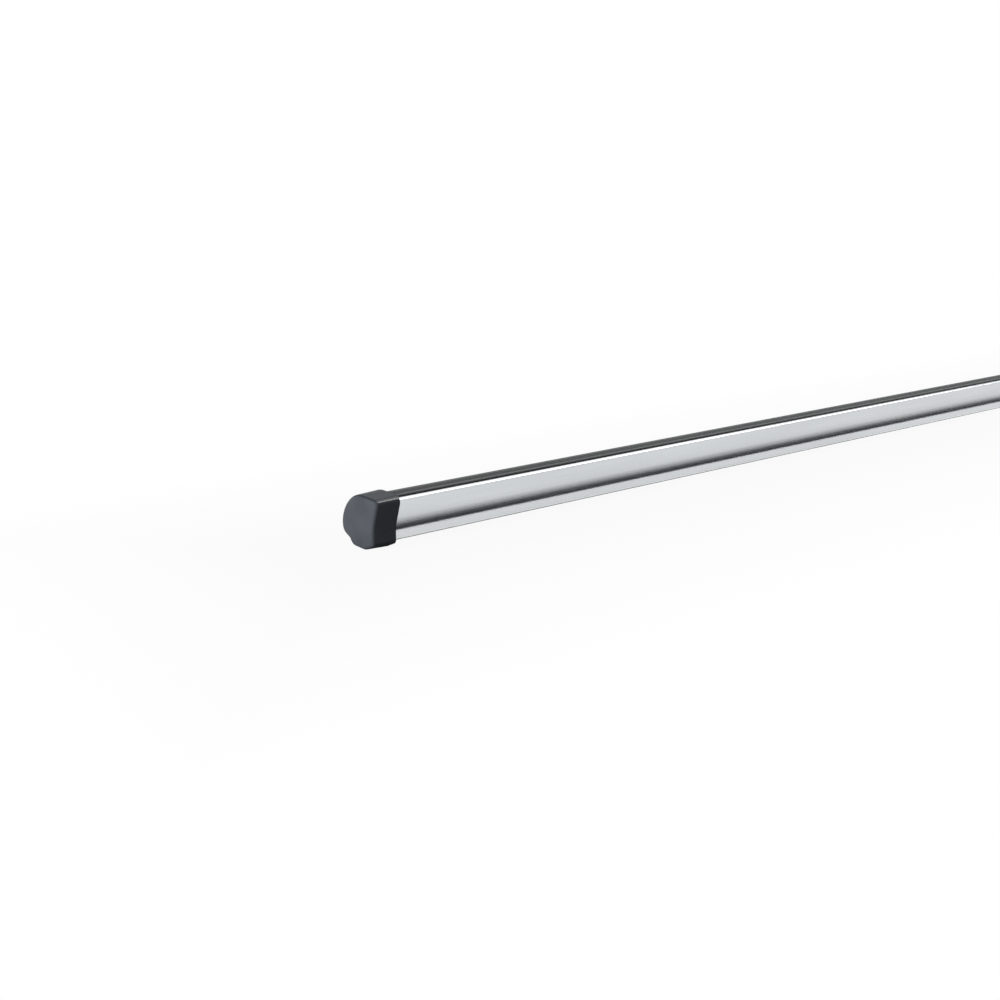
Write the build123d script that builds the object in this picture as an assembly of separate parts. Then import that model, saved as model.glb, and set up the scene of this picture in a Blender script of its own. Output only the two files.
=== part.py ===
from build123d import *
import math
import os

# Roof rack crossbar: a hollow aluminium extrusion with a rubber strip in its top slot and a moulded
# cap pushed over each end. The bar runs along X, its lipped side faces -Y, its nose faces +Y, and
# the soles of the caps stand on Z = 0. Millimetres.

# Extrusion, overall
bar_length = 1270.0
bar_width = 49.1
bar_height = 40.9
wall = 2.2
chamber_corner = 1.0

# Lipped side: rounded top edge, leaning flank that bends in under itself, drip groove, upright lip, toe
edge_radius = 2.5
flank_slope = 18.5
flank_drop = 17.0
bend_radius = 40.0
bend_angle = 18.5
lip_inset = 6.8
lip_drop = 27.4
lip_radius = 0.8
toe_drop = 35.3
toe_radius = 0.9
toe_slope = 10.0

# Nose side: flat top, long crown, round nose, tight chin, rising underside
top_flat = 19.0
nose_radius = 17.2
nose_drop = 26.3
chin_radius = 6.2
chin_angle = 10.0
chin_slope = 22.0

# Base under the bar, which carries the foot slot
base_near = 19.0
base_far = 38.6
base_near_radius = 3.0
base_far_radius = 6.4

# Top slot: a shallow seat for the strip, a mouth and a wide channel below its lips
seat_centre = 12.95
seat_depth = 1.8
slot_mouth = 9.0
slot_lip = 2.6
slot_channel = 15.6
slot_height = 7.0

# Foot slot in the base
foot_mouth = 8.5
foot_lip = 2.6
foot_channel = 14.0
foot_height = 6.0

# Rubber strip
strip_width = 17.7
strip_side_gap = 0.25
strip_end_gap = 0.3
strip_proud = 1.3
strip_shoulder = 0.4
strip_groove_radius = 0.5
strip_groove_pitch = 4.4
strip_groove_count = 4
strip_leg = 2.0
strip_leg_gap = 0.25
strip_barb = 1.1
strip_barb_height = 1.7
strip_barb_gap = 0.1

# End caps: a shell that widens towards its rim, and two hollow plugs
cap_clearance = 0.2
cap_wall = 1.6
cap_end = 3.2
cap_skirt = 18.0
cap_draft_angle = 2.5
cap_edge_radius = 2.6
cap_toe_radius = 1.8
cap_root_radius = 5.0
cap_sole_radius = 8.0
plug_clearance = 0.45
plug_wall = 1.6
plug_depth = 14.0
lip_plug_width = 6.4
nose_plug_width = 18.0

# Worked out from the sizes above
cap_offset = cap_clearance + cap_wall
top_z = bar_height + cap_offset
foot_centre = base_near + wall + foot_channel / 2
strip_length = bar_length - 2 * (cap_skirt + strip_end_gap)


def at(across, down):
    """A point of the section: across from the lipped side's top edge, down from the top face."""
    return (across - bar_width / 2, top_z - down)


def polar(centre, radius, angle):
    """The point at a radius and an angle in degrees round a centre."""
    turn = math.radians(angle)
    return (centre[0] + radius * math.cos(turn), centre[1] + radius * math.sin(turn))


def block(near, far, upper, lower):
    """A rectangle of the section between two places across and two depths."""
    mid = at((near + far) / 2, (upper + lower) / 2)
    return Pos(*mid) * Rectangle(far - near, lower - upper)


def centred_block(centre, width, upper, lower):
    """A rectangle of the section about a centre line."""
    return block(centre - width / 2, centre + width / 2, upper, lower)


def nose_side():
    """Flat top's far end to the base: a crown and a chin tangent to the round nose, then the underside."""
    # The crown leaves the flat top level and runs into the nose without a crease.
    reach = bar_width - nose_radius - top_flat
    crown_radius = (reach**2 + nose_drop**2 - nose_radius**2) / (2 * (nose_drop - nose_radius))
    crown_centre = at(top_flat, crown_radius)
    nose_centre = at(bar_width - nose_radius, nose_drop)
    crown_to = math.degrees(math.atan2(nose_centre[1] - crown_centre[1], nose_centre[0] - crown_centre[0]))

    # The chin circle touches the nose circle from inside and turns under to the rising underside.
    chin_centre = polar(nose_centre, nose_radius - chin_radius, -chin_angle)
    chin_end = -(90 - chin_slope)
    chin_foot = polar(chin_centre, chin_radius, chin_end)
    run_in = chin_foot[0] - at(base_far - wall, 0)[0]
    root = (chin_foot[0] - run_in, chin_foot[1] - run_in * math.tan(math.radians(chin_slope)))

    return [
        CenterArc(crown_centre, crown_radius, 90, crown_to - 90),
        CenterArc(nose_centre, nose_radius, crown_to, -chin_angle - crown_to),
        CenterArc(chin_centre, chin_radius, -chin_angle, chin_end + chin_angle),
        Line(chin_foot, root),
    ]


def lipped_side(grooved):
    """Flat top's far end round the lipped side to the base, with the drip groove or swept over it."""
    lean = math.radians(flank_slope)
    # The rounded edge, not the sharp corner it replaces, is the outermost point of this side.
    corner = edge_radius - edge_radius * (1 + math.sin(lean)) / math.cos(lean)
    toe = at(lip_inset, toe_drop)
    if not grooved:
        knee = at(lip_inset, (lip_inset - corner) / math.tan(lean))
        sole = [at(base_near, bar_height), at(base_far - base_far_radius, bar_height)]
        radii = [edge_radius, bend_radius, cap_toe_radius, cap_sole_radius]
        return [FilletPolyline(at(top_flat, 0), at(corner, 0), knee, toe, *sole, radius=radii)]
    flank_end = at(corner + flank_drop * math.tan(lean), flank_drop)
    shoulder = FilletPolyline(at(top_flat, 0), at(corner, 0), flank_end, radius=edge_radius)
    bend = JernArc(flank_end, (math.sin(lean), -math.cos(lean)), bend_radius, bend_angle)
    run_in = base_near + wall - lip_inset
    root = at(lip_inset + run_in, toe_drop + run_in * math.tan(math.radians(toe_slope)))
    lip = FilletPolyline(bend @ 1, at(lip_inset, lip_drop), toe, root, radius=[lip_radius, toe_radius])
    return [shoulder, bend, lip]


def base_outline():
    """The base: an upright block with a rounded corner on each side of its sole."""
    root = bar_height / 2
    corners = [at(base_near, root), at(base_near, bar_height), at(base_far, bar_height), at(base_far, root)]
    sides = FilletPolyline(*corners, radius=[base_near_radius, base_far_radius])
    return [sides, Line(corners[-1], corners[0])]


def outer_rounded(sketch, radius):
    """The sketch with its outer corners rounded: drawn in by the radius, then let out again."""
    return offset(offset(sketch, -radius), radius)


def inner_rounded(sketch, radius):
    """The sketch with its inner corners rounded: let out by the radius, then drawn in again."""
    return offset(offset(sketch, radius), -radius)


def outer_face(grooved):
    """The bar's whole outer shape: both sides closed across the base, and the base itself."""
    near = lipped_side(grooved)
    far = nose_side()
    body = make_face([*near, *far, Line(near[-1] @ 1, far[-1] @ 1)])
    return body + make_face(base_outline())


# Bar section: outline, slots and chambers
outline = outer_face(grooved=True)

slot_channel_top = seat_depth + slot_lip
slot_floor = slot_channel_top + slot_height
seat_width = strip_width + 2 * strip_side_gap
top_slot = (
    centred_block(seat_centre, seat_width, -wall, seat_depth)
    + centred_block(seat_centre, slot_mouth, -wall, slot_floor)
    + centred_block(seat_centre, slot_channel, slot_channel_top, slot_floor)
)

foot_channel_low = bar_height - foot_lip
foot_roof = foot_channel_low - foot_height
foot_slot = (
    centred_block(foot_centre, foot_mouth, foot_roof, bar_height + wall)
    + centred_block(foot_centre, foot_channel, foot_roof, foot_channel_low)
)

slot_box = block(-wall, seat_centre + slot_channel / 2 + wall, -wall, slot_floor + wall)
foot_box = centred_block(foot_centre, foot_channel + 2 * wall, foot_roof - wall, bar_height + wall)
web_centre = (seat_centre + slot_channel / 2 + foot_centre - foot_channel / 2) / 2
web_near = web_centre - wall / 2
web_far = web_centre + wall / 2
web = block(web_near, web_far, slot_floor, foot_roof)
hollows = offset(outline, -wall) - slot_box - foot_box - web
chambers = outer_rounded(hollows, chamber_corner)

section = outline - chambers - top_slot - foot_slot

# Cap section: the envelope bridges the drip groove and rounds the inner corner between chin and base.
envelope = inner_rounded(outer_face(grooved=False), cap_root_radius)


def run(sketch, start, length):
    """The sketch carried along X from a start."""
    return Pos(start, 0, 0) * extrude(Plane.YZ * sketch, amount=length)


crossbar = run(section, -bar_length / 2, bar_length)


# Rubber strip section: crowned plate, lengthwise grooves, two legs with barbs under the slot's lips
def strip_section():
    """The strip: its plate fills the seat and its barbed legs hook under the lips of the slot."""
    half = strip_width / 2
    plate = make_face([
        Polyline(
            at(seat_centre - half, -strip_proud + strip_shoulder),
            at(seat_centre - half, seat_depth),
            at(seat_centre + half, seat_depth),
            at(seat_centre + half, -strip_proud + strip_shoulder),
        ),
        ThreePointArc(
            at(seat_centre - half, -strip_proud + strip_shoulder),
            at(seat_centre, -strip_proud),
            at(seat_centre + half, -strip_proud + strip_shoulder),
        ),
    ])
    for place in GridLocations(strip_groove_pitch, 0, strip_groove_count, 1):
        groove_centre = at(seat_centre + place.position.X, -strip_proud)
        plate -= Pos(*groove_centre) * Circle(strip_groove_radius)
    leg_far = slot_mouth / 2 - strip_leg_gap
    barb_top = slot_channel_top + strip_barb_gap
    barb_low = barb_top + strip_barb_height
    for side in (-1, 1):
        leg = make_face(Polyline(
            at(seat_centre + side * (leg_far - strip_leg), seat_depth),
            at(seat_centre + side * leg_far, seat_depth),
            at(seat_centre + side * leg_far, barb_top),
            at(seat_centre + side * (leg_far + strip_leg_gap + strip_barb), barb_top),
            at(seat_centre + side * leg_far, barb_low),
            at(seat_centre + side * (leg_far - strip_leg), barb_low),
            close=True,
        ))
        plate += leg
    return plate


slot_strip = run(strip_section(), -strip_length / 2, strip_length)


# End cap on the -X end: drafted shell, flat sole, pocket over the bar, a hollow plug for each chamber
def plug_section(near, width):
    """A tube between the top slot's floor and the foot slot's roof, with a clearance to both."""
    upper = slot_floor + wall + plug_clearance
    lower = foot_roof - wall - plug_clearance
    tube = block(near, near + width, upper, lower)
    return tube - offset(tube, -plug_wall)


def end_cap():
    """The cap at the -X end. Its end wall seats on the bar's end and its plugs stand beside the web."""
    seat = -bar_length / 2
    end_section = Pos(seat - cap_end, 0, 0) * (Plane.YZ * offset(envelope, cap_offset))
    shell = extrude(end_section, amount=cap_end + cap_skirt, taper=-cap_draft_angle)
    end_edges = shell.faces().sort_by(Axis.X)[0].edges()
    shell = fillet(end_edges, cap_edge_radius)
    # The draft would carry the sole below the level the bar rests on, so it is cut flat there.
    shell = split(shell, bisect_by=Plane.XY, keep=Keep.TOP)
    shell -= run(offset(envelope, cap_clearance), seat, cap_skirt)
    lip_plug = plug_section(web_near - plug_clearance - lip_plug_width, lip_plug_width)
    nose_plug = plug_section(web_far + plug_clearance, nose_plug_width)
    for plug in (lip_plug, nose_plug):
        shell += run(plug, seat, plug_depth)
    return shell


end_cap_left = end_cap()
end_cap_right = mirror(end_cap_left, about=Plane.YZ)

os.makedirs("parts", exist_ok=True)
nodes = {
    "crossbar": crossbar,
    "slot_strip": slot_strip,
    "end_cap_left": end_cap_left,
    "end_cap_right": end_cap_right,
}
for name, piece in nodes.items():
    export_step(piece, f"parts/{name}.step")
    size = piece.bounding_box().size
    print(name, len(piece.solids()), "solid", f"{size.X:.1f} x {size.Y:.1f} x {size.Z:.1f} mm")
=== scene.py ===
# %% [markdown]
# A roof rack crossbar is a hollow aluminium extrusion. A rubber strip fills the slot along its top, and a
# moulded plastic cap is pushed over each end. The frame holds the four solids at their real size, and this
# lesson dresses them: each cell makes one piece or one finish, in metres, where the frame says it is.

# %% Load the frame
import math
import bpy
import numpy as np
from mathutils.geometry import tessellate_polygon
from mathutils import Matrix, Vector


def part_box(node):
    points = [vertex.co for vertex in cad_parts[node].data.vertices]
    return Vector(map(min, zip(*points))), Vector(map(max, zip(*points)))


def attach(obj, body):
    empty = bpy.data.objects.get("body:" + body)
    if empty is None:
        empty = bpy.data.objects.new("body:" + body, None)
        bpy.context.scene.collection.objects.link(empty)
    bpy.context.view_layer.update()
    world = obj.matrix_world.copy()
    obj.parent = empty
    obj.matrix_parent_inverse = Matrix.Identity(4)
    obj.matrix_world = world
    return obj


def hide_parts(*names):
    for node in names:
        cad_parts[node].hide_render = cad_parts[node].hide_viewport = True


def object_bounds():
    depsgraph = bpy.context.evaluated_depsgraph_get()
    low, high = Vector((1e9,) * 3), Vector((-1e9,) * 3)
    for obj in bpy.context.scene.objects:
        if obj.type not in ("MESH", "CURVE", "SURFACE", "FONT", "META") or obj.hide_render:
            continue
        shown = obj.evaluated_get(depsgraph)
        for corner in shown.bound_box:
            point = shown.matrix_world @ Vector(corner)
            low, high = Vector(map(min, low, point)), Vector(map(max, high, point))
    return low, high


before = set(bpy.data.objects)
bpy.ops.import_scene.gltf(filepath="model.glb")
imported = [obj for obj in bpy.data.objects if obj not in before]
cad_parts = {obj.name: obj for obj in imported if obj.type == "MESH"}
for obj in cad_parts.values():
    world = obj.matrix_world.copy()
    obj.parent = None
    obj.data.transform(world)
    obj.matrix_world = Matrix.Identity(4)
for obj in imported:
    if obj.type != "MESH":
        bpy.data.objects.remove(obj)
cad_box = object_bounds()
MM = 0.001
print("CAD box in metres:", [[round(v, 4) for v in corner] for corner in cad_box])

# %% [markdown]
# Everything here is a section carried along the bar, so the first tool is an outline made of straight runs
# with a round at each corner. A designer draws it the same way: corners first, then a radius on each. A Bevel
# modifier could round a sharp mesh. Here the rounds are worked out for all the corners at once, because each
# point then keeps its exact normal, and a wide flat beside a small round still shades flat.

# %% Outlines with rounded corners
CORNER_STEPS = 12


def rounded(corners):
    """Points and normals of a closed outline whose corners are rows of (y, z, radius).

    An arc of a given radius touches both sides of its corner at radius times the tangent of half the turn.
    Its centre lies one radius to the side of that touching point. The arc's points are the centre plus the
    radius times (cosine, sine) of an angle spread evenly over the turn. With the material on the left, the
    normal is that same direction, or its opposite where the outline turns right.
    """
    corners = np.asarray(corners, float)
    here = corners[:, :2]
    radius = corners[:, 2]
    into = here - np.roll(here, 1, axis=0)
    into /= np.linalg.norm(into, axis=1, keepdims=True)
    out = np.roll(into, -1, axis=0)
    turn = np.arctan2(into[:, 0] * out[:, 1] - into[:, 1] * out[:, 0], np.sum(into * out, axis=1))
    side = np.sign(turn)
    touch = here - into * (radius * np.tan(np.abs(turn) / 2))[:, None]
    centre = touch + np.column_stack([-into[:, 1], into[:, 0]]) * (side * radius)[:, None]
    first = np.arctan2(touch[:, 1] - centre[:, 1], touch[:, 0] - centre[:, 0])
    angle = first[:, None] + turn[:, None] * np.linspace(0, 1, CORNER_STEPS)
    ray = np.stack([np.cos(angle), np.sin(angle)], axis=2)
    points = centre[:, None] + ray * radius[:, None, None]
    normals = ray * side[:, None, None]
    return points.reshape(-1, 2), normals.reshape(-1, 2)


square = [(0, 0, 1), (4, 0, 1), (4, 4, 1), (0, 4, 1)]
print("a square with four rounds has", len(rounded(square)[0]), "points")

# %% [markdown]
# Some corners aren't given as points. Where the drawing gives an arc by its centre, the corner is the place
# at which the tangents at its two ends meet. Where it gives two lines, the corner is their crossing. With
# these small tools, arcs and lines all become corners with a radius.

# %% Corners from arcs and lines
def polar(centre, radius, angle):
    """The point at a radius and an angle in degrees round a centre."""
    turn = math.radians(angle)
    return (centre[0] + radius * math.cos(turn), centre[1] + radius * math.sin(turn))


def arc_corner(centre, radius, start, stop):
    """The corner that an arc rounds: on its middle angle, radius over the cosine of half the sweep away."""
    middle = math.radians((start + stop) / 2)
    reach = radius / math.cos(math.radians(stop - start) / 2)
    return (centre[0] + reach * math.cos(middle), centre[1] + reach * math.sin(middle), radius)


def crossing(point, angle, other, other_angle):
    """Where two lines cross, each given by a point and a direction in degrees."""
    along = np.array([math.cos(math.radians(angle)), math.sin(math.radians(angle))])
    across = np.array([math.cos(math.radians(other_angle)), math.sin(math.radians(other_angle))])
    reach = np.linalg.solve(np.column_stack([along, -across]), np.subtract(other, point))[0]
    return tuple(np.add(point, along * reach))


print("a quarter of a unit circle rounds the corner", [round(v, 3) for v in arc_corner((0, 0), 1, 0, 90)])

# %% [markdown]
# The next tool carries a section along the bar, as the press pushes the metal through the die. Vertex (i, j)
# is outline point j at station i, and quads join the neighbours, so the sides are one grid for each loop of
# the section. The two ends are closed by triangles over the loops, with the hollows left open. A curve with a
# profile could do this too, but it would not keep the outline's own normals.

# %% Faces of a carried section
STATIONS = 25


def side_faces(sizes):
    """Quads (i, j), (i, j + 1), (i + 1, j + 1), (i + 1, j), closed round each loop of the given sizes."""
    count = sum(sizes)
    begins = np.cumsum([0, *sizes[:-1]])
    following = np.concatenate([first + np.roll(np.arange(size), -1) for first, size in zip(begins, sizes)])
    row = np.arange(STATIONS - 1)[:, None] * count
    here = np.arange(count)[None]
    quads = np.stack([row + here, row + following, row + following + count, row + here + count], axis=2)
    return quads.reshape(-1, 4)


def end_faces(outlines):
    """Triangles over the loops, facing -X at the first station and +X at the last.

    A triangle whose corners run clockwise has a negative area, and its order is turned round.
    """
    outline = np.concatenate(outlines)
    fill = np.array(tessellate_polygon([points.tolist() for points in outlines]))
    a, b, c = (outline[fill[:, k]] for k in range(3))
    area = (b - a)[:, 0] * (c - a)[:, 1] - (b - a)[:, 1] * (c - a)[:, 0]
    fill = np.where(area[:, None] > 0, fill, fill[:, ::-1])
    return np.concatenate([fill[:, ::-1], fill + (STATIONS - 1) * len(outline)])


print("a loop of four points has", len(side_faces([4])), "side faces over", STATIONS, "stations")

# %% [markdown]
# The faces and the outline's normals then become a mesh. The normals are set for each corner of each face, so
# an edge between a side and an end stays sharp without being split.

# %% A section carried along the bar
def carried(name, loops, start, stop):
    """Mesh object of a section, loops of (points, normals) in millimetres, carried along X.

    A side vertex is (x of its station, y, z of its outline point), and its normal is the outline's own. An
    end is a flat fill of the loops, with its normal along X.
    """
    outlines = [points for points, normals in loops]
    outline = np.concatenate(outlines)
    normal = np.concatenate([normals for points, normals in loops])
    count = len(outline)
    vertices = np.empty((STATIONS, count, 3))
    vertices[:, :, 0] = np.linspace(start, stop, STATIONS)[:, None]
    vertices[:, :, 1:] = outline[None]

    quads = side_faces([len(points) for points in outlines])
    ends = end_faces(outlines)
    side_normals = np.zeros((quads.size, 3))
    side_normals[:, 1:] = normal[quads.ravel() % count]
    end_normals = np.zeros((ends.size, 3))
    end_normals[:, 0] = np.repeat([-1.0, 1.0], ends.size // 2)

    mesh = bpy.data.meshes.new(name)
    mesh.from_pydata((vertices.reshape(-1, 3) * MM).tolist(), [], quads.tolist() + ends.tolist())
    mesh.polygons.foreach_set("use_smooth", np.ones(len(mesh.polygons), bool))
    mesh.normals_split_custom_set(np.concatenate([side_normals, end_normals]).tolist())
    mesh.validate()
    piece = bpy.data.objects.new(name, mesh)
    bpy.context.scene.collection.objects.link(piece)
    print(name, "outline points:", count, "faces:", len(mesh.polygons))
    return piece


# %% [markdown]
# The bar's section has a leaning side that bends in under itself, a drip groove with an upright lip below it,
# and a round nose on the other side. A slot along the top takes the strip, and a slot underneath takes the
# feet. Distances are millimetres across from the lipped side's top edge and down from the top face, as they
# would stand on the die maker's drawing. The CAD box gives where that drawing lies in the frame.

# %% Where the section is measured from
bar_low, bar_high = (np.array(corner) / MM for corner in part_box("crossbar"))
bar_width = bar_high[1] - bar_low[1]
bar_height = bar_high[2] - bar_low[2]


def at(across, down):
    """A point of the section, from a distance across and a distance down, as (y, z) in millimetres."""
    return (bar_low[1] + across, bar_high[2] - down)


print("section", round(bar_width, 2), "mm wide and", round(bar_height, 2), "mm tall")

# %% [markdown]
# On the nose side, three arcs run into each other without a crease. The crown's circle touches the flat top
# where it ends, so its centre lies straight below that point, and it touches the nose circle from outside.
# The two conditions together give its radius. The chin circle touches the nose circle from inside. A spline
# through measured points would pass for it, but a die is cut from arcs, and they mirror the light evenly.

# %% Arcs of the nose side
TOP_FLAT = 19.0
NOSE_RADIUS = 17.2
NOSE_DROP = 26.3
CHIN_RADIUS = 6.2
CHIN_ANGLE = 10.0
CHIN_SLOPE = 22.0

reach = bar_width - NOSE_RADIUS - TOP_FLAT
crown_radius = (reach**2 + NOSE_DROP**2 - NOSE_RADIUS**2) / (2 * (NOSE_DROP - NOSE_RADIUS))
crown_centre = at(TOP_FLAT, crown_radius)
nose_centre = at(TOP_FLAT + reach, NOSE_DROP)
crown_foot = math.degrees(math.atan2(nose_centre[1] - crown_centre[1], nose_centre[0] - crown_centre[0]))
chin_centre = polar(nose_centre, NOSE_RADIUS - CHIN_RADIUS, -CHIN_ANGLE)
chin_foot = CHIN_SLOPE - 90


def crown_angle(across, radius):
    """The angle round the crown's centre at which a circle of that radius passes over a place across."""
    return math.degrees(math.acos((at(across, 0)[0] - crown_centre[0]) / radius))


def nose_arcs(drawn_in, crown_start):
    """Chin, nose and crown as corners, each arc drawn in by the same distance."""
    return [
        arc_corner(chin_centre, CHIN_RADIUS - drawn_in, chin_foot, -CHIN_ANGLE),
        arc_corner(nose_centre, NOSE_RADIUS - drawn_in, -CHIN_ANGLE, crown_foot),
        arc_corner(crown_centre, crown_radius - drawn_in, crown_foot, crown_start),
    ]


print("crown radius", round(crown_radius, 2), "mm, running into the nose at", round(crown_foot, 1), "degrees")

# %% [markdown]
# The lipped side leans in by a steady angle, then bends further under itself along a wide arc until it meets
# the top of the lip. The inner corner where they meet is the drip groove. The top edge is rounded, and the
# rounding, not the sharp corner that it replaces, is the outermost place on this side.

# %% Corners of the lipped side
EDGE_RADIUS = 2.5
FLANK_SLOPE = 18.5
FLANK_DROP = 17.0
BEND_RADIUS = 40.0
BEND_ANGLE = 18.5
LIP_INSET = 6.8
LIP_DROP = 27.4
LIP_RADIUS = 0.8
TOE_DROP = 35.3
TOE_RADIUS = 0.9
TOE_SLOPE = 10.0

slope = math.radians(FLANK_SLOPE)
shoulder = EDGE_RADIUS - EDGE_RADIUS * (1 + math.sin(slope)) / math.cos(slope)
flank_end = at(shoulder + FLANK_DROP * math.tan(slope), FLANK_DROP)
bend_centre = polar(flank_end, BEND_RADIUS, FLANK_SLOPE)
bend_from = 180 + FLANK_SLOPE
bend_to = bend_from + BEND_ANGLE
groove = polar(bend_centre, BEND_RADIUS, bend_to)
lip_top = at(LIP_INSET, LIP_DROP)
toe = at(LIP_INSET, TOE_DROP)
print("drip groove", round(groove[0] - lip_top[0], 2), "mm behind the face of the lip")

# %% [markdown]
# Both slots are T-shaped: a narrow mouth between two lips, and a wide channel behind them in which the head
# of a bolt slides but can't turn. They could be cut out of the mesh afterwards, but drawn as part of the
# outline they stay clean, and one function draws both. The top slot lies in a shallow seat as wide as the
# strip, and the foot slot lies in the base, beside its near wall.

# %% Slots
SEAT_DEPTH = 1.8
SEAT_GAP = 0.25
SLOT_MOUTH = 9.0
SLOT_LIP = 2.6
SLOT_CHANNEL = 15.6
SLOT_HEIGHT = 7.0
FOOT_MOUTH = 8.5
FOOT_LIP = 2.6
FOOT_CHANNEL = 14.0
FOOT_HEIGHT = 6.0
BASE_NEAR = 19.0
WALL = 2.2
INNER_CORNER = 0.2
BROKEN_EDGE = 0.3

strip_low, strip_high = (np.array(corner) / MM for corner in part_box("slot_strip"))
seat_near = strip_low[1] - bar_low[1] - SEAT_GAP
seat_far = strip_high[1] - bar_low[1] + SEAT_GAP
seat_centre = (seat_near + seat_far) / 2
slot_top = SEAT_DEPTH + SLOT_LIP
slot_floor = slot_top + SLOT_HEIGHT
foot_centre = BASE_NEAR + WALL + FOOT_CHANNEL / 2
foot_low = bar_height - FOOT_LIP
foot_roof = foot_low - FOOT_HEIGHT


def slot_corners(centre, mouth, channel, outer, lip, floor):
    """A slot with a narrow mouth and a wide channel, from its far side round to its near side."""
    steps = [
        (mouth, outer, BROKEN_EDGE),
        (mouth, lip, BROKEN_EDGE),
        (channel, lip, INNER_CORNER),
        (channel, floor, INNER_CORNER),
    ]
    far = [(*at(centre + width / 2, down), radius) for width, down, radius in steps]
    near = [(*at(centre - width / 2, down), radius) for width, down, radius in steps]
    return far + near[::-1]


print("seat from", round(seat_near, 2), "to", round(seat_far, 2), "mm across")

# %% [markdown]
# The base is an upright block under the section with a rounded corner on each side. Its walls run up into the
# sloping undersides of the toe and the chin, at two inner corners that are crossings of lines. The outline
# then goes once round the section with the metal on its left: up the nose, over the crown and the seat, down
# the lipped side and back along the base.

# %% Outline of the bar
BASE_FAR = 38.6
BASE_NEAR_RADIUS = 3.0
BASE_FAR_RADIUS = 6.4
FAR_BASE_END = -25.0

crown_cut = crown_angle(seat_far, crown_radius)
base_root = crossing(toe, -TOE_SLOPE, at(BASE_NEAR, 0), 90)
far_base_centre = at(BASE_FAR - BASE_FAR_RADIUS, bar_height - BASE_FAR_RADIUS)
far_base = polar(far_base_centre, BASE_FAR_RADIUS, FAR_BASE_END)
underside = polar(chin_centre, CHIN_RADIUS, chin_foot)
far_root = crossing(far_base, FAR_BASE_END + 90, underside, CHIN_SLOPE)

outer = [
    *nose_arcs(0, crown_cut),
    (*polar(crown_centre, crown_radius, crown_cut), BROKEN_EDGE),
    (*at(seat_far, SEAT_DEPTH), INNER_CORNER),
    *slot_corners(seat_centre, SLOT_MOUTH, SLOT_CHANNEL, SEAT_DEPTH, slot_top, slot_floor),
    (*at(seat_near, SEAT_DEPTH), INNER_CORNER),
    (*at(seat_near, 0), BROKEN_EDGE),
    (*at(shoulder, 0), EDGE_RADIUS),
    arc_corner(bend_centre, BEND_RADIUS, bend_from, bend_to),
    (*groove, INNER_CORNER),
    (*lip_top, LIP_RADIUS),
    (*toe, TOE_RADIUS),
    (*base_root, INNER_CORNER),
    (*at(BASE_NEAR, bar_height), BASE_NEAR_RADIUS),
    *slot_corners(foot_centre, FOOT_MOUTH, FOOT_CHANNEL, bar_height, foot_low, foot_roof)[::-1],
    arc_corner(far_base_centre, BASE_FAR_RADIUS, -90, FAR_BASE_END),
    (*far_root, INNER_CORNER),
]
print("the outline has", len(outer), "corners")

# %% [markdown]
# Two hollows run through the bar, one on each side of an upright web between the slots. The die keeps the
# wall even, so each hollow follows the outside, drawn in by one wall. The web stands midway between the side
# of the top slot's channel and the near wall of the foot slot.

# %% Hollows of the bar
CHAMBER_CORNER = 1.0

web_near = (seat_centre + SLOT_CHANNEL / 2 + foot_centre - FOOT_CHANNEL / 2 - WALL) / 2
slot_side = seat_centre + SLOT_CHANNEL / 2 + WALL
foot_side = foot_centre + FOOT_CHANNEL / 2 + WALL
slot_under = slot_floor + WALL
foot_over = foot_roof - WALL
crown_inside = crown_angle(slot_side, crown_radius - WALL)
inner_chin = polar(chin_centre, CHIN_RADIUS - WALL, chin_foot)
nose_hollow = [
    *nose_arcs(WALL, crown_inside),
    (*polar(crown_centre, crown_radius - WALL, crown_inside), CHAMBER_CORNER),
    (*at(slot_side, slot_under), INNER_CORNER),
    (*at(web_near + WALL, slot_under), INNER_CORNER),
    (*at(web_near + WALL, foot_over), CHAMBER_CORNER),
    (*at(foot_side, foot_over), CHAMBER_CORNER),
    (*crossing(inner_chin, CHIN_SLOPE, at(foot_side, 0), 90), CHAMBER_CORNER),
]

inner_flank = polar(flank_end, WALL, FLANK_SLOPE)
inner_bend = polar(bend_centre, BEND_RADIUS - WALL, bend_to)
lip_angle = math.degrees(math.atan2(groove[1] - lip_top[1], groove[0] - lip_top[0]))
inner_lip = polar(groove, WALL, lip_angle - 90)
inner_toe = polar(toe, WALL / math.cos(math.radians(TOE_SLOPE)), 90)
lip_hollow = [
    (*at(web_near, slot_under), CHAMBER_CORNER),
    (*crossing(inner_flank, FLANK_SLOPE + 90, at(0, slot_under), 0), CHAMBER_CORNER),
    arc_corner(bend_centre, BEND_RADIUS - WALL, bend_from, bend_to),
    (*crossing(inner_bend, bend_to + 90, inner_lip, lip_angle), WALL),
    (*crossing(inner_lip, lip_angle, at(LIP_INSET + WALL, 0), 90), INNER_CORNER),
    (*crossing(inner_toe, -TOE_SLOPE, at(LIP_INSET + WALL, 0), 90), CHAMBER_CORNER),
    (*crossing(inner_toe, -TOE_SLOPE, at(BASE_NEAR, 0), 90), CHAMBER_CORNER),
    (*at(BASE_NEAR, foot_over), INNER_CORNER),
    (*at(web_near, foot_over), CHAMBER_CORNER),
]
print("the web stands from", round(web_near, 2), "to", round(web_near + WALL, 2), "mm across")

# %% [markdown]
# The outline and the two hollows, which run the other way round, are the loops of the section. Carried from
# one end of the CAD bar to the other, they take its place in the picture.

# %% The bar
bar = carried(
    "bar_extrusion",
    [rounded(outer), rounded(nose_hollow[::-1]), rounded(lip_hollow[::-1])],
    bar_low[0],
    bar_high[0],
)
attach(bar, "root")
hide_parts("crossbar")

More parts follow.
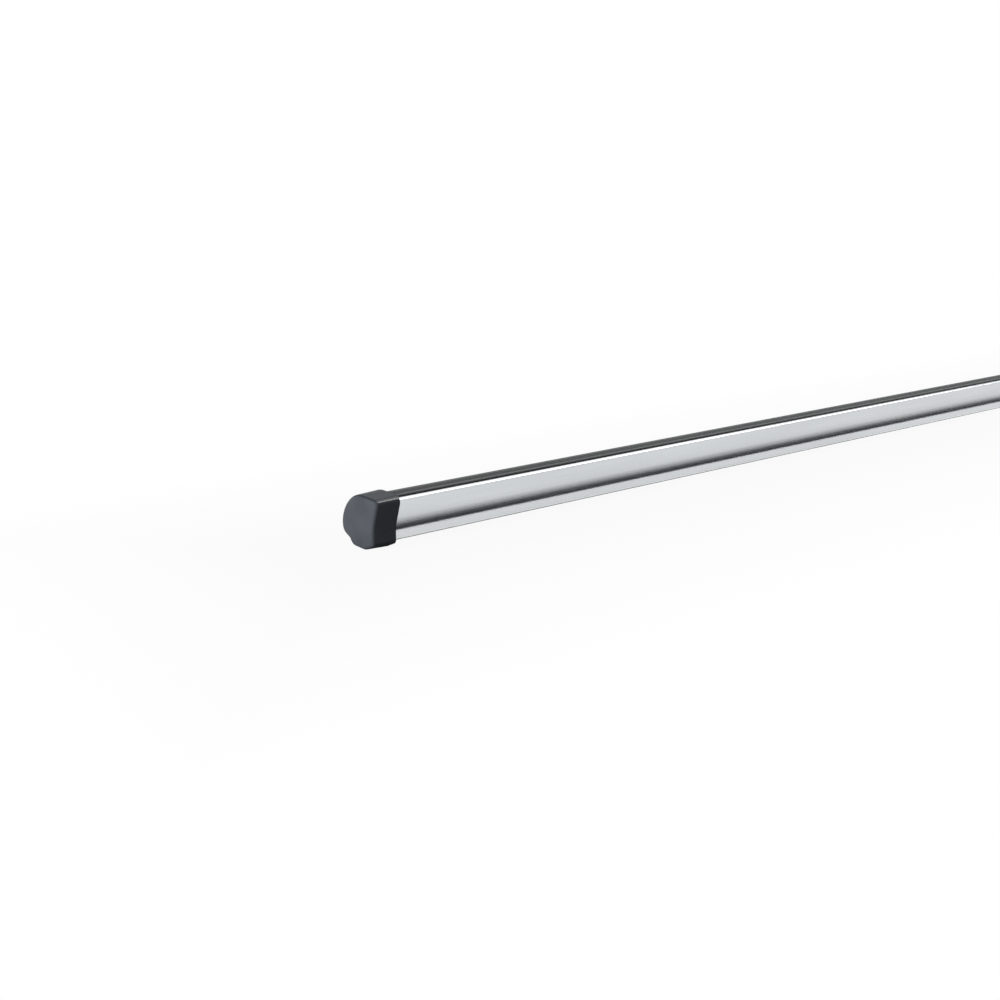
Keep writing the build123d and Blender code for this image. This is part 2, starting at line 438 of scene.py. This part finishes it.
# %% [markdown]
# The strip is an extruded rubber profile: a slightly crowned plate with fine grooves along it, and two legs
# whose barbs snap under the lips of the slot. The grooves could be bump, but they show at the strip's ends
# and in its outline, so they are shape. The crown is so flat that straight runs between the grooves lie on
# it, and the top is drawn as corners too.

# %% Top of the strip
STRIP_SHOULDER = 0.4
STRIP_EDGE = 0.45
GROOVE_PITCH = 4.4
GROOVE_COUNT = 4
GROOVE_RADIUS = 0.5

strip_half = (strip_high[1] - strip_low[1]) / 2
strip_proud = strip_high[2] - bar_high[2]


def strip_top(offset):
    """How far down the crowned top lies at a distance from the middle: a parabola between the edges."""
    return -strip_proud + STRIP_SHOULDER * (offset / strip_half) ** 2


def strip_groove(middle):
    """Three corners of a groove: edges on the crowned top, and a root one radius below the crown's peak."""
    sunk = strip_top(middle) + strip_proud
    half = math.sqrt(GROOVE_RADIUS**2 - sunk**2)
    root = (*at(seat_centre + middle, GROOVE_RADIUS - strip_proud), STRIP_EDGE)
    sides = (middle + half, middle - half)
    far, near = ((*at(seat_centre + side, strip_top(side)), STRIP_EDGE / 2) for side in sides)
    return [far, root, near]


groove_middles = GROOVE_PITCH * (np.arange(GROOVE_COUNT) - (GROOVE_COUNT - 1) / 2)
strip_grooves = [corner for middle in groove_middles[::-1] for corner in strip_groove(middle)]
print("strip", round(2 * strip_half, 2), "mm wide, standing", round(strip_proud, 2), "mm above the bar")

# %% [markdown]
# Below the plate the two legs mirror each other, so one list of offsets from the middle serves both. A barb
# reaches out under its lip and slopes back, which lets the leg be pressed in but not pulled out.

# %% Legs of the strip, and its mesh
LEG_GAP = 0.25
LEG_WIDTH = 2.0
BARB_REACH = 1.1
BARB_HEIGHT = 1.7
BARB_GAP = 0.1

leg_out = SLOT_MOUTH / 2 - LEG_GAP
leg_in = leg_out - LEG_WIDTH
barb_top = slot_top + BARB_GAP
barb_low = barb_top + BARB_HEIGHT
leg = [
    (strip_half, SEAT_DEPTH, INNER_CORNER),
    (leg_out, SEAT_DEPTH, INNER_CORNER),
    (leg_out, barb_top, INNER_CORNER),
    (leg_out + LEG_GAP + BARB_REACH, barb_top, INNER_CORNER),
    (leg_out, barb_low, BROKEN_EDGE),
    (leg_in, barb_low, BROKEN_EDGE),
    (leg_in, SEAT_DEPTH, BROKEN_EDGE),
]
near_leg = [(*at(seat_centre - offset, down), radius) for offset, down, radius in leg]
far_leg = [(*at(seat_centre + offset, down), radius) for offset, down, radius in leg]
strip_outline = [
    (*at(seat_centre + strip_half, strip_top(strip_half)), STRIP_EDGE),
    *strip_grooves,
    (*at(seat_centre - strip_half, strip_top(strip_half)), STRIP_EDGE),
    *near_leg,
    *far_leg[::-1],
]
strip = carried("rubber_strip", [rounded(strip_outline)], strip_low[0], strip_high[0])
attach(strip, "root")
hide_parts("slot_strip")

# %% [markdown]
# Finishes come next. Each is a small node tree on the piece's own coordinates, so that it stays with the
# piece from every side. These helpers start a finish, and add noise with its own grain in each direction.
# Noise lies mostly between 0.3 and 0.7, so that range is spread over a finish.

# %% Helpers for noise
NOISE_RANGE = (0.3, 0.7)


def finish_material(name):
    """A new material with its node tree, its shader and a source of object coordinates."""
    material = bpy.data.materials.new(name)
    material.use_nodes = True
    tree = material.node_tree
    shader = tree.nodes["Principled BSDF"]
    place = tree.nodes.new("ShaderNodeTexCoord").outputs["Object"]
    return material, tree, shader, place


def noise(tree, place, waves, detail, roughness=0.5):
    """Noise whose grain is set by waves to the metre along x, y and z."""
    mapping = tree.nodes.new("ShaderNodeMapping")
    mapping.inputs["Scale"].default_value = waves
    texture = tree.nodes.new("ShaderNodeTexNoise")
    texture.inputs["Scale"].default_value = 1.0
    texture.inputs["Detail"].default_value = detail
    texture.inputs["Roughness"].default_value = roughness
    tree.links.new(place, mapping.inputs["Vector"])
    tree.links.new(mapping.outputs["Vector"], texture.inputs["Vector"])
    return texture.outputs["Fac"]


def spread(tree, value, low, high, from_low=NOISE_RANGE[0], from_high=NOISE_RANGE[1]):
    """A value mapped evenly from one range to another, and held at its ends."""
    ranged = tree.nodes.new("ShaderNodeMapRange")
    ranged.inputs["From Min"].default_value = from_low
    ranged.inputs["From Max"].default_value = from_high
    ranged.inputs["To Min"].default_value = low
    ranged.inputs["To Max"].default_value = high
    tree.links.new(value, ranged.inputs["Value"])
    return ranged.outputs["Result"]


def raised(tree, shader, height, distance, strength):
    """Bump on a shader from a height, which stands the given distance high."""
    bump = tree.nodes.new("ShaderNodeBump")
    bump.inputs["Distance"].default_value = distance
    bump.inputs["Strength"].default_value = strength
    tree.links.new(height, bump.inputs["Height"])
    tree.links.new(bump.outputs["Normal"], shader.inputs["Normal"])


print("noise is spread from", NOISE_RANGE[0], "to", NOISE_RANGE[1])

# %% [markdown]
# Two helpers mix colours. One runs between two shades by a noise, for the unevenness that every real surface
# has. The other lays one colour over another where a share says so, for painted shade and painted highlights.

# %% Helpers for colours
def shades(tree, value, dark, light):
    """A colour between two shades, by a noise."""
    ramp = tree.nodes.new("ShaderNodeValToRGB")
    for stop, position, colour in zip(ramp.color_ramp.elements, NOISE_RANGE, (dark, light)):
        stop.position = position
        stop.color = (*colour, 1)
    tree.links.new(value, ramp.inputs["Fac"])
    return ramp.outputs["Color"]


def blend(tree, share, first, second):
    """A colour from the first, at a share of 0, to the second, at 1: each a link or a plain colour."""
    mix = tree.nodes.new("ShaderNodeMix")
    mix.data_type = "RGBA"
    tree.links.new(share, mix.inputs["Factor"])
    for socket, colour in zip((mix.inputs["A"], mix.inputs["B"]), (first, second)):
        if isinstance(colour, tuple):
            socket.default_value = (*colour, 1)
        else:
            tree.links.new(colour, socket)
    return mix.outputs["Result"]


print("a noise of", NOISE_RANGE[0], "gives the dark shade, and of", NOISE_RANGE[1], "the light one")

# %% [markdown]
# The last helpers work on places. The painted shade and highlights on the bar and the strip follow lines that
# run along the bar, so one of them says how near a point is to such a line. It could be painted on the
# vertices, but a distance is exact on any mesh.

# %% Helpers for places
def math_node(tree, operation, *values):
    """A math node on links or plain numbers."""
    node = tree.nodes.new("ShaderNodeMath")
    node.operation = operation
    for socket, value in zip(node.inputs, values):
        if isinstance(value, (int, float)):
            socket.default_value = value
        else:
            tree.links.new(value, socket)
    return node.outputs[0]


def parts(tree, coordinates):
    """The x, y and z of one of the texture coordinates, by its name."""
    split = tree.nodes.new("ShaderNodeSeparateXYZ")
    tree.links.new(tree.nodes.new("ShaderNodeTexCoord").outputs[coordinates], split.inputs[0])
    return split.outputs["X"], split.outputs["Y"], split.outputs["Z"]


def nearness(tree, place, spot, nearest, farthest):
    """1 to 0 over a range of distances, in the section, from a line along the bar through a spot (y, z)."""
    flat = tree.nodes.new("ShaderNodeVectorMath")
    flat.operation = "MULTIPLY"
    flat.inputs[1].default_value = (0, 1, 1)
    away = tree.nodes.new("ShaderNodeVectorMath")
    away.operation = "DISTANCE"
    away.inputs[1].default_value = (0, spot[0] * MM, spot[1] * MM)
    tree.links.new(place, flat.inputs[0])
    tree.links.new(flat.outputs[0], away.inputs[0])
    return spread(tree, away.outputs["Value"], 1, 0, nearest * MM, farthest * MM)


def dress(piece, material):
    """The material as the piece's only one."""
    piece.data.materials.clear()
    piece.data.materials.append(material)
    print(piece.name, "wears", material.name, "with", len(material.node_tree.nodes), "nodes")


# %% [markdown]
# Anodised aluminium is a metal with a satin skin. The die leaves very fine lines along the bar. A picture of
# brushed metal could be wrapped round it, but noise that is drawn out along x, with many waves to the metre
# across the section and hardly any along it, never repeats. The lines change the roughness a little and stand
# a few thousandths of a millimetre high. Under the bend, in the groove and over the edge of the lip, the
# metal is painted darker and made rougher. This is painted shade, for the dark that the bent side mirrors
# from under the bar. The toe is painted paler and made rougher. This is painted light, which hides the dark
# that the toe mirrors from the floor. Each such place is a spot of the section with the distances, in
# millimetres, at which it begins to fade and has gone.

# %% Aluminium of the bar
BEFORE_GROOVE = 5.6
# Painted shade: these spots of the section are painted darker, for the dark that the bent side mirrors.
PAINTED_SHADE_SPOTS = [
    (polar(bend_centre, BEND_RADIUS, bend_to - BEFORE_GROOVE), 1.3, 3.4),
    (groove, 0.8, 2.6),
    (lip_top, 0.5, 1.1),
]
# Painted light: the toe is painted paler, which hides the dark line that it mirrors from the floor.
PAINTED_LIGHT_TOE = (toe, 0.8, 1.5)
SKIN_SHADES = ((0.62, 0.64, 0.655), (0.67, 0.69, 0.705))
PAINTED_SHADE_TINT = (0.23, 0.24, 0.25)
PAINTED_LIGHT_TINT = (0.88, 0.9, 0.91)
DIE_LINES = (1.5, 1400, 1400)
SKIN_CLOUDS = (6, 60, 60)
SATIN = (0.2, 0.3)
PAINTED_SHADE_ROUGHER = 0.15
PAINTED_LIGHT_ROUGHER = 0.5
LINE_HEIGHT = 0.004 * MM


def bar_finish():
    """Satin anodised aluminium with fine lines along it, painted shade at the groove and painted light at the
    toe.
    """
    material, tree, shader, place = finish_material("bar_aluminium")
    shader.inputs["Metallic"].default_value = 1.0
    lines = noise(tree, place, DIE_LINES, detail=4.0, roughness=0.6)
    cloud = noise(tree, place, SKIN_CLOUDS, detail=2.0)
    bend_shade, root_shade, lip_shade = (nearness(tree, place, *spot) for spot in PAINTED_SHADE_SPOTS)
    painted_shade = math_node(tree, "MAXIMUM", math_node(tree, "MAXIMUM", bend_shade, root_shade), lip_shade)
    painted_light = nearness(tree, place, *PAINTED_LIGHT_TOE)

    # Painted shade: the skin is darkened towards the spots round the groove.
    skin = blend(tree, painted_shade, shades(tree, cloud, *SKIN_SHADES), PAINTED_SHADE_TINT)
    # Painted light: the toe is laid over in a paler tint.
    tree.links.new(blend(tree, painted_light, skin, PAINTED_LIGHT_TINT), shader.inputs["Base Color"])
    rough = math_node(tree, "MULTIPLY_ADD", painted_shade, PAINTED_SHADE_ROUGHER, spread(tree, lines, *SATIN))
    rough = math_node(tree, "MULTIPLY_ADD", painted_light, PAINTED_LIGHT_ROUGHER, rough)
    tree.links.new(rough, shader.inputs["Roughness"])
    raised(tree, shader, lines, LINE_HEIGHT, strength=0.5)
    return material


dress(bar, bar_finish())

# %% [markdown]
# The strip is black rubber that has gone slightly grey. It is matt, with a fine grain, and the extruder
# leaves faint streaks along it. Two paler lines on its outer lands are painted highlights. A black line
# along its edge on the lipped side is painted shade, where that side faces away from the light. A single
# dark colour would make the strip a flat band from a step away, so these lines are laid on. The lands are
# given by their distance from the strip's middle.

# %% Rubber of the strip
NEAR_LAND = 5.8
FAR_LAND = 6.3
# Painted highlights: two lines on the outer lands are painted paler.
PAINTED_HIGHLIGHT_LANDS = [
    (at(seat_centre - NEAR_LAND, -strip_proud), 0.9, 1.9),
    (at(seat_centre + FAR_LAND, -strip_proud), 1.6, 3.0),
]
# Painted shade: a black line along the strip's near edge, where its side faces away from the light.
PAINTED_SHADE_EDGE = (at(seat_centre - strip_half, 0), 1.7, 2.4)
RUBBER_SHADES = ((0.038, 0.040, 0.041), (0.056, 0.058, 0.059))
PAINTED_HIGHLIGHT_TINT = (0.135, 0.14, 0.143)
STRIP_EDGE_SHADE_TINT = (0.012, 0.013, 0.014)
STREAKS = (4, 500, 500)
RUBBER_GRAIN = (2500, 2500, 2500)
RUBBER_MATT = (0.55, 0.75)
RUBBER_GRAIN_HEIGHT = 0.03 * MM


def strip_finish():
    """Matt rubber with a fine grain and faint streaks, painted highlights on two lands and painted shade on
    its near edge.
    """
    material, tree, shader, place = finish_material("strip_rubber")
    shader.inputs["Specular IOR Level"].default_value = 0.25
    streaks = noise(tree, place, STREAKS, detail=3.0)
    grain = noise(tree, place, RUBBER_GRAIN, detail=2.0)
    near_highlight, far_highlight = (nearness(tree, place, *land) for land in PAINTED_HIGHLIGHT_LANDS)
    painted_highlight = math_node(tree, "MAXIMUM", near_highlight, far_highlight)

    # Painted highlights on the lands.
    grey = blend(tree, painted_highlight, shades(tree, streaks, *RUBBER_SHADES), PAINTED_HIGHLIGHT_TINT)
    # Painted shade along the near edge.
    tint = blend(tree, nearness(tree, place, *PAINTED_SHADE_EDGE), grey, STRIP_EDGE_SHADE_TINT)
    tree.links.new(tint, shader.inputs["Base Color"])
    tree.links.new(spread(tree, grain, *RUBBER_MATT), shader.inputs["Roughness"])
    raised(tree, shader, grain, RUBBER_GRAIN_HEIGHT, strength=0.6)
    return material


dress(strip, strip_finish())

# %% [markdown]
# The caps are moulded in a tool with an eroded surface, which gives black plastic a fine even grain and
# hardly any shine. They keep their CAD meshes, which are fine enough to show as they are. Along their upper
# edges the plastic is painted darker. This is painted shade, for the dark that these rounded edges mirror.
# The long edge on the lipped side is polished, and shines through a coat. Blender can find edges by how
# pointed a mesh is, but that depends on its faces, so here an edge is where the normal points both up and
# out.

# %% Plastic of the caps
EDGE_RISE = (0.45, 0.65)
EDGE_TURN = (0.35, 0.55)
PLASTIC_SHADES = ((0.043, 0.048, 0.056), (0.052, 0.058, 0.067))
# Painted shade: the upper edges of the caps are painted in this darker tint.
CAP_EDGE_SHADE_TINT = (0.018, 0.020, 0.023)
PLASTIC_GRAIN = (1800, 1800, 1800)
PLASTIC_CLOUDS = (70, 70, 70)
PLASTIC_SHEEN = (0.28, 0.38)
PLASTIC_GRAIN_HEIGHT = 0.02 * MM


def upper_edge(tree, upward, sideways):
    """0 to 1 where a normal points both up and to one side, as it does on a rounded upper edge."""
    rising = spread(tree, upward, 0, 1, *EDGE_RISE)
    turning = spread(tree, sideways, 0, 1, *EDGE_TURN)
    return math_node(tree, "MINIMUM", rising, turning)


def cap_finish():
    """Black moulded plastic with a fine eroded grain, painted darker along its upper edges as painted shade.
    """
    material, tree, shader, place = finish_material("cap_plastic")
    shader.inputs["Specular IOR Level"].default_value = 0.07
    shader.inputs["Coat Roughness"].default_value = 0.22
    shader.inputs["Coat IOR"].default_value = 1.6
    grain = noise(tree, place, PLASTIC_GRAIN, detail=3.0)
    cloud = noise(tree, place, PLASTIC_CLOUDS, detail=2.0)

    along, across, upward = parts(tree, "Normal")
    long_edge = upper_edge(tree, upward, math_node(tree, "MULTIPLY", across, -1))
    end_edge = upper_edge(tree, upward, math_node(tree, "ABSOLUTE", along))
    edge_shade = math_node(tree, "MAXIMUM", long_edge, end_edge)

    # Painted shade along the upper edges.
    tint = blend(tree, edge_shade, shades(tree, cloud, *PLASTIC_SHADES), CAP_EDGE_SHADE_TINT)
    tree.links.new(tint, shader.inputs["Base Color"])
    tree.links.new(long_edge, shader.inputs["Coat Weight"])
    tree.links.new(spread(tree, grain, *PLASTIC_SHEEN), shader.inputs["Roughness"])
    raised(tree, shader, grain, PLASTIC_GRAIN_HEIGHT, strength=0.5)
    return material


cap_plastic = cap_finish()
for name in ("end_cap_left", "end_cap_right"):
    dress(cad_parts[name], cap_plastic)

# %% [markdown]
# The stage is a plain pale floor. Away from the bar it is an even white, to the camera and in reflections.
# Close to the bar it shows its own lit surface, so that the shadow stays: faintly to the camera, and fully in
# the metal, whose bent side it darkens. Lamps bright enough to whiten a real floor would wash out the part,
# so the white is a glow that only the camera and reflections see.

# %% Floor
FLOOR_HALF = 6.0
FLOOR_GREY = (0.28, 0.28, 0.28, 1)
SHADOW_RANGE = (0.04, 0.30)
MIRRORED_RANGE = (0.021, 0.038)
CAMERA_GLOW = 0.94


def floor_finish():
    """White floor: near the bar partly its own lit surface, which holds the shadow, and a glow elsewhere.

    The distance from the bar is the larger of the distance beside it and the distance beyond its ends.
    """
    material = bpy.data.materials.new("stage_floor")
    material.use_nodes = True
    tree = material.node_tree
    tree.nodes.remove(tree.nodes["Principled BSDF"])
    path = tree.nodes.new("ShaderNodeLightPath").outputs
    along, across = parts(tree, "Object")[:2]
    beside = math_node(tree, "ABSOLUTE", across)
    beyond = math_node(tree, "SUBTRACT", math_node(tree, "ABSOLUTE", along), cad_box[1].x)
    from_bar = math_node(tree, "MAXIMUM", beside, beyond)
    glow = spread(tree, from_bar, CAMERA_GLOW, 1, *SHADOW_RANGE)
    seen = math_node(tree, "MULTIPLY", glow, path["Is Camera Ray"])
    mirrored = math_node(tree, "MAXIMUM", path["Is Glossy Ray"], path["Is Transmission Ray"])
    share = math_node(tree, "MULTIPLY_ADD", spread(tree, from_bar, 0, 1, *MIRRORED_RANGE), mirrored, seen)

    lit = tree.nodes.new("ShaderNodeBsdfDiffuse")
    lit.inputs["Color"].default_value = FLOOR_GREY
    white = tree.nodes.new("ShaderNodeEmission")
    mix = tree.nodes.new("ShaderNodeMixShader")
    tree.links.new(share, mix.inputs["Fac"])
    tree.links.new(lit.outputs[0], mix.inputs[1])
    tree.links.new(white.outputs[0], mix.inputs[2])
    tree.links.new(mix.outputs[0], tree.nodes["Material Output"].inputs["Surface"])
    return material


floor_mesh = bpy.data.meshes.new("stage_floor")
floor_corners = FLOOR_HALF * np.array([[-1, -1, 0], [1, -1, 0], [1, 1, 0], [-1, 1, 0]])
floor_mesh.from_pydata(floor_corners.tolist(), [], [(0, 1, 2, 3)])
floor = bpy.data.objects.new("stage_floor", floor_mesh)
bpy.context.scene.collection.objects.link(floor)
dress(floor, floor_finish())

# %% [markdown]
# The world is the pale room round the bar. The camera sees it white, and as light it adds only a little. In
# reflections it is dimmer low down and behind the bar, and full above and in front, as a room is with its
# lamps overhead: that gives the bright metal its soft gradients. Its height in reflections is z, less a share
# of y, because the back of the room lies along +y.

# %% World
WORLD_LIGHT = 0.08
HORIZON = 0.58
BEHIND_DIMMER = -0.35
FULL_HEIGHT = 0.45

world = bpy.data.worlds.new("studio")
bpy.context.scene.world = world
world.use_nodes = True
room = world.node_tree
backdrop = room.nodes["Background"]
backdrop.inputs["Color"].default_value = (1, 1, 1, 1)
world_path = room.nodes.new("ShaderNodeLightPath").outputs
world_across, world_upward = parts(room, "Generated")[1:]
world_height = math_node(room, "MULTIPLY_ADD", world_across, BEHIND_DIMMER, world_upward)
world_bright = spread(room, world_height, HORIZON, 1, 0, FULL_HEIGHT)
world_clear = math_node(room, "MAXIMUM", world_path["Is Glossy Ray"], world_path["Is Transmission Ray"])
world_mirrored = math_node(room, "MULTIPLY", world_bright, world_clear)
world_seen = math_node(room, "MAXIMUM", world_path["Is Camera Ray"], world_mirrored)
world_level = math_node(room, "MAXIMUM", world_seen, WORLD_LIGHT)
room.links.new(world_level, backdrop.inputs["Strength"])
print("the room lights the part at", WORLD_LIGHT, "and is mirrored from", HORIZON, "to 1")

# %% [markdown]
# Three soft lights stand in the room. A large weak one overhead lights the tops evenly. A narrow one in front
# is mirrored as a bright line in the bar's rounded top edge and in the cap's long edge. The one on the left
# lights the cap's end, while its long side stays dark. That one isn't shown in reflections, where it would
# burn out the metal. Small strong lamps would give hard shadows and white spots, so all three are broad and
# weak. Each row gives a name, a place, the point that it faces, a size in metres and watts.

# %% Lights
near_end = (cad_box[0].x, 0, 0.02)
LIGHTS = [
    ("overhead", (0, 0.35, 1.6), (0, 0, 0), (3.6, 2.1), 11),
    ("front", (0.85, -0.65, 1.12), (0.85, 0.0, 0.03), (2.4, 0.35), 16),
    ("left", (-2.1, 0.35, 0.35), near_end, (0.9, 0.6), 42),
]


def soft_light(name, place, aim, size, power):
    """A rectangular area light at a place, turned towards a point.

    A lamp shines along its own -z, so it is tipped by the angle between straight up and the line back from
    the point, and then turned to the side that this line comes from.
    """
    lamp = bpy.data.lights.new(name, "AREA")
    lamp.shape = "RECTANGLE"
    lamp.size, lamp.size_y = size
    lamp.energy = power
    light = bpy.data.objects.new(name, lamp)
    bpy.context.scene.collection.objects.link(light)
    back = np.subtract(place, aim)
    flat = math.hypot(back[0], back[1])
    light.location = place
    light.rotation_euler = (math.atan2(flat, back[2]), 0, math.atan2(back[1], back[0]) + math.pi / 2)
    print(name, "light:", power, "W over", round(size[0] * size[1], 2), "square metres")
    return light


lights = {row[0]: soft_light(*row) for row in LIGHTS}
lights["left"].visible_glossy = False

# %% [markdown]
# The camera stands where the photograph was taken: in front of the lipped side, well to the left and a little
# above. A lens of medium length gives the same narrowing of the bar towards the right. The plain view
# transform shows each colour about as it is written.

# %% Camera
CAMERA_PLACE = (-1.1370, -0.8110, 0.2986)
CAMERA_PITCH = 15.3
CAMERA_HEADING = 38.3
LENS = 45.0
SENSOR_WIDTH = 36.0
NEAREST_SEEN = 0.01

camera_data = bpy.data.cameras.new("camera")
camera_data.lens = LENS
camera_data.sensor_width = SENSOR_WIDTH
camera_data.clip_start = NEAREST_SEEN
camera = bpy.data.objects.new("camera", camera_data)
bpy.context.scene.collection.objects.link(camera)
camera.location = CAMERA_PLACE
camera.rotation_euler = (math.radians(90 - CAMERA_PITCH), 0, math.radians(-CAMERA_HEADING))
bpy.context.scene.camera = camera
bpy.context.scene.view_settings.view_transform = "Standard"
print("camera", round(math.dist(CAMERA_PLACE, near_end), 3), "m from the near end")
